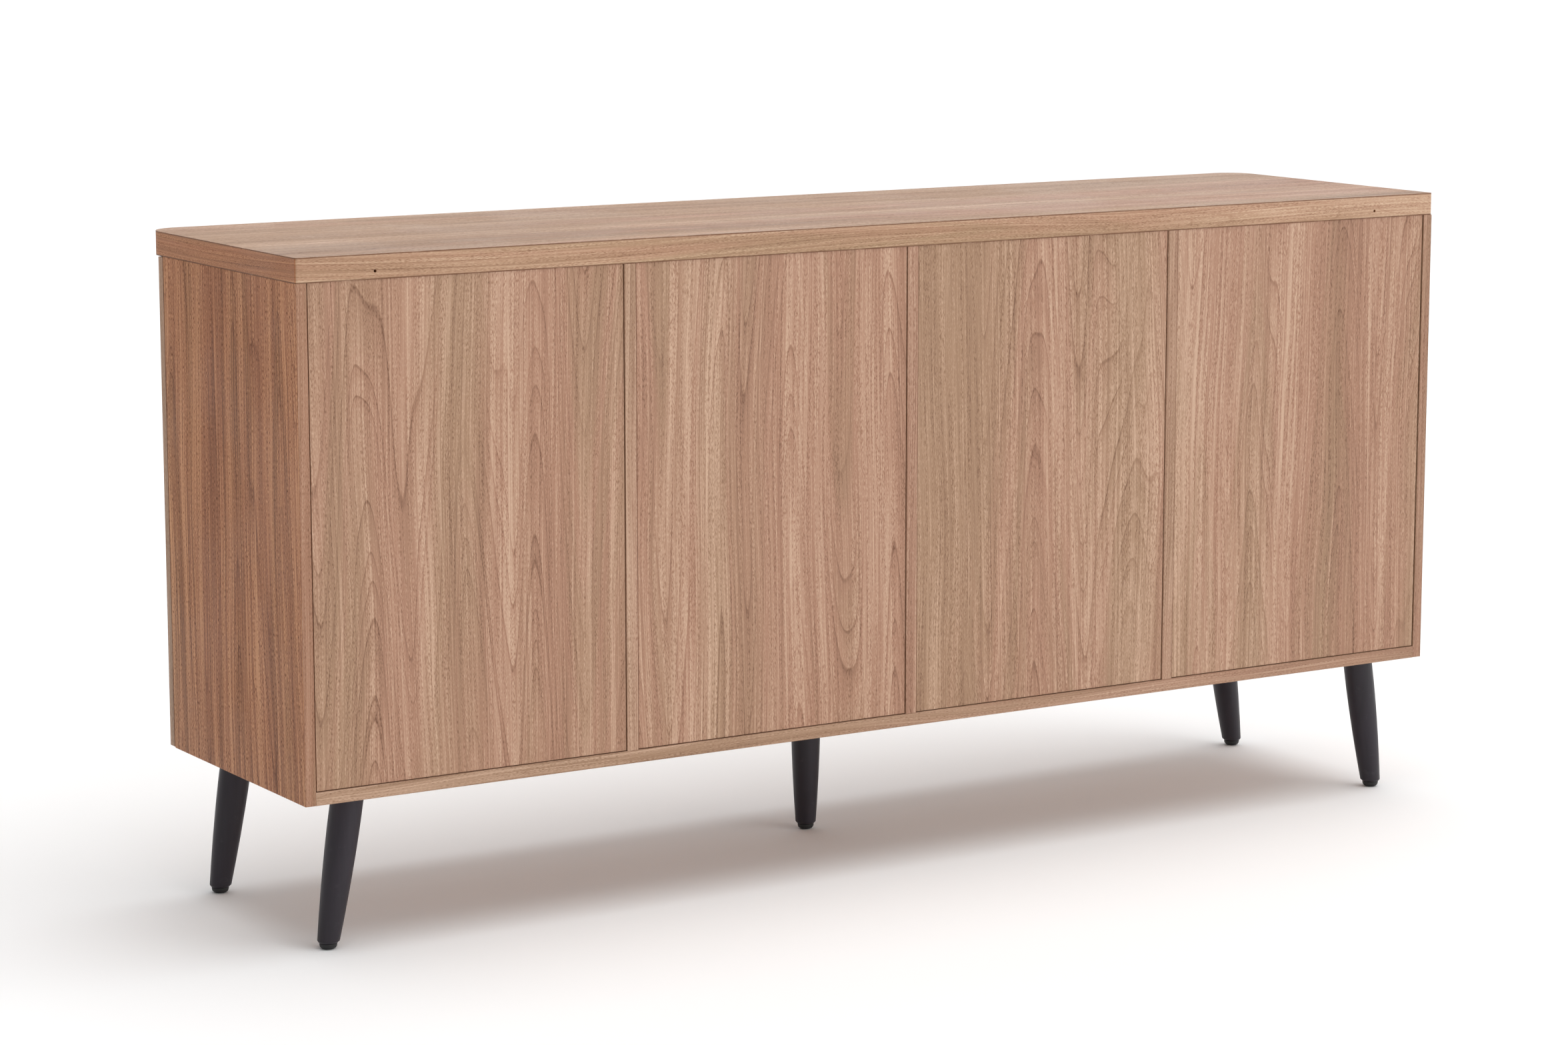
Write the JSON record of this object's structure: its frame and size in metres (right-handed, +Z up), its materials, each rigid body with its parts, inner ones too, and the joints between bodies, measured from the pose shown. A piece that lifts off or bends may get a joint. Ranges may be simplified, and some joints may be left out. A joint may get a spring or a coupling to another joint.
{
  "type": "sideboard buffet",
  "caption": "Long low sideboard with hinged doors under an overhanging round-cornered top, shelved bays and a finished wood-pattern back, on splayed tapered black legs.",
  "frame": {"origin": "on the floor, under the centre of the top's outline", "axes": "+X along the length, to the right seen from the doors; doors face -Y and the back faces +Y; +Z up"},
  "size_m": [1.6, 0.405, 0.782],
  "materials": {
    "laminate_top": "pale pinkish-tan wood-pattern laminate, satin, grain along the length",
    "laminate_carcass": "pinkish-tan wood-pattern laminate, satin, upright grain",
    "laminate_back": "pinkish-tan wood-pattern laminate with arched figure, satin, upright grain",
    "laminate_door": "pinkish-tan wood-pattern laminate, satin, upright grain",
    "laminate_inside": "pinkish-tan wood-pattern laminate, satin, grain along the length",
    "black_lacquer": "near-black satin lacquer on turned wood",
    "black_metal": "black powder coat",
    "nickel_plate": "nickel-plated pressed steel",
    "black_plastic": "matt black moulded plastic"
  },
  "bodies": {
    "carcass": {"top_panel": "laminate_top", "side_panel_left": "laminate_carcass", "side_panel_right": "laminate_carcass", "bottom_panel": "laminate_carcass", "partition_left": "laminate_carcass", "partition_centre": "laminate_carcass", "partition_right": "laminate_carcass", "back_panel_1": "laminate_back", "back_panel_2": "laminate_back", "back_panel_3": "laminate_back", "back_panel_4": "laminate_back", "shelf_1": "laminate_inside", "shelf_2": "laminate_inside", "shelf_3": "laminate_inside", "shelf_4": "laminate_inside", "hinge_arm_1_lower": "nickel_plate", "hinge_arm_1_upper": "nickel_plate", "hinge_arm_2_lower": "nickel_plate", "hinge_arm_2_upper": "nickel_plate", "hinge_arm_3_lower": "nickel_plate", "hinge_arm_3_upper": "nickel_plate", "hinge_arm_4_lower": "nickel_plate", "hinge_arm_4_upper": "nickel_plate", "leg_front_left": "black_lacquer", "leg_front_right": "black_lacquer", "leg_rear_left": "black_lacquer", "leg_rear_right": "black_lacquer", "leg_middle": "black_lacquer", "glide_front_left": "black_plastic", "glide_front_right": "black_plastic", "glide_rear_left": "black_plastic", "glide_rear_right": "black_plastic", "glide_middle": "black_plastic"},
    "door_1": {"door_1": "laminate_door", "door_handle_1": "black_metal", "hinge_cup_1_lower": "nickel_plate", "hinge_cup_1_upper": "nickel_plate"},
    "door_2": {"door_2": "laminate_door", "door_handle_2": "black_metal", "hinge_cup_2_lower": "nickel_plate", "hinge_cup_2_upper": "nickel_plate"},
    "door_3": {"door_3": "laminate_door", "door_handle_3": "black_metal", "hinge_cup_3_lower": "nickel_plate", "hinge_cup_3_upper": "nickel_plate"},
    "door_4": {"door_4": "laminate_door", "door_handle_4": "black_metal", "hinge_cup_4_lower": "nickel_plate", "hinge_cup_4_upper": "nickel_plate"},
    "hinge_link_1_lower": {"hinge_link_1_lower": "nickel_plate"},
    "hinge_link_1_upper": {"hinge_link_1_upper": "nickel_plate"},
    "hinge_link_2_lower": {"hinge_link_2_lower": "nickel_plate"},
    "hinge_link_2_upper": {"hinge_link_2_upper": "nickel_plate"},
    "hinge_link_3_lower": {"hinge_link_3_lower": "nickel_plate"},
    "hinge_link_3_upper": {"hinge_link_3_upper": "nickel_plate"},
    "hinge_link_4_lower": {"hinge_link_4_lower": "nickel_plate"},
    "hinge_link_4_upper": {"hinge_link_4_upper": "nickel_plate"}
  },
  "joints": [
    {"name": "door_1_hinge", "type": "hinge", "parent": "carcass", "child": "door_1", "pos_m": [-0.8, -0.1665, 0.464], "axis": [0, 0, -1], "range_deg": [0, 95]},
    {"name": "door_2_hinge", "type": "hinge", "parent": "carcass", "child": "door_2", "pos_m": [-0.3945, -0.1665, 0.464], "axis": [0, 0, -1], "range_deg": [0, 95]},
    {"name": "door_3_hinge", "type": "hinge", "parent": "carcass", "child": "door_3", "pos_m": [0.3945, -0.1665, 0.464], "axis": [0, 0, 1], "range_deg": [0, 95]},
    {"name": "door_4_hinge", "type": "hinge", "parent": "carcass", "child": "door_4", "pos_m": [0.8, -0.1665, 0.464], "axis": [0, 0, 1], "range_deg": [0, 95]},
    {"name": "hinge_link_1_lower_pin", "type": "hinge", "parent": "door_1", "child": "hinge_link_1_lower", "pos_m": [-0.778, -0.158, 0.267], "axis": [0, 0, 1], "range_deg": [0, 67]},
    {"name": "hinge_link_1_upper_pin", "type": "hinge", "parent": "door_1", "child": "hinge_link_1_upper", "pos_m": [-0.778, -0.158, 0.663], "axis": [0, 0, 1], "range_deg": [0, 67]},
    {"name": "hinge_link_2_lower_pin", "type": "hinge", "parent": "door_2", "child": "hinge_link_2_lower", "pos_m": [-0.3725, -0.158, 0.267], "axis": [0, 0, 1], "range_deg": [0, 67]},
    {"name": "hinge_link_2_upper_pin", "type": "hinge", "parent": "door_2", "child": "hinge_link_2_upper", "pos_m": [-0.3725, -0.158, 0.663], "axis": [0, 0, 1], "range_deg": [0, 67]},
    {"name": "hinge_link_3_lower_pin", "type": "hinge", "parent": "door_3", "child": "hinge_link_3_lower", "pos_m": [0.3725, -0.158, 0.267], "axis": [0, 0, -1], "range_deg": [0, 67]},
    {"name": "hinge_link_3_upper_pin", "type": "hinge", "parent": "door_3", "child": "hinge_link_3_upper", "pos_m": [0.3725, -0.158, 0.663], "axis": [0, 0, -1], "range_deg": [0, 67]},
    {"name": "hinge_link_4_lower_pin", "type": "hinge", "parent": "door_4", "child": "hinge_link_4_lower", "pos_m": [0.778, -0.158, 0.267], "axis": [0, 0, -1], "range_deg": [0, 67]},
    {"name": "hinge_link_4_upper_pin", "type": "hinge", "parent": "door_4", "child": "hinge_link_4_upper", "pos_m": [0.778, -0.158, 0.663], "axis": [0, 0, -1], "range_deg": [0, 67]}
  ],
  "couplings": [
    {"joint": "hinge_link_1_lower_pin", "follows": "door_1_hinge", "ratio": 0.7},
    {"joint": "hinge_link_1_upper_pin", "follows": "door_1_hinge", "ratio": 0.7},
    {"joint": "hinge_link_2_lower_pin", "follows": "door_2_hinge", "ratio": 0.7},
    {"joint": "hinge_link_2_upper_pin", "follows": "door_2_hinge", "ratio": 0.7},
    {"joint": "hinge_link_3_lower_pin", "follows": "door_3_hinge", "ratio": 0.7},
    {"joint": "hinge_link_3_upper_pin", "follows": "door_3_hinge", "ratio": 0.7},
    {"joint": "hinge_link_4_lower_pin", "follows": "door_4_hinge", "ratio": 0.7},
    {"joint": "hinge_link_4_upper_pin", "follows": "door_4_hinge", "ratio": 0.7}
  ]
}
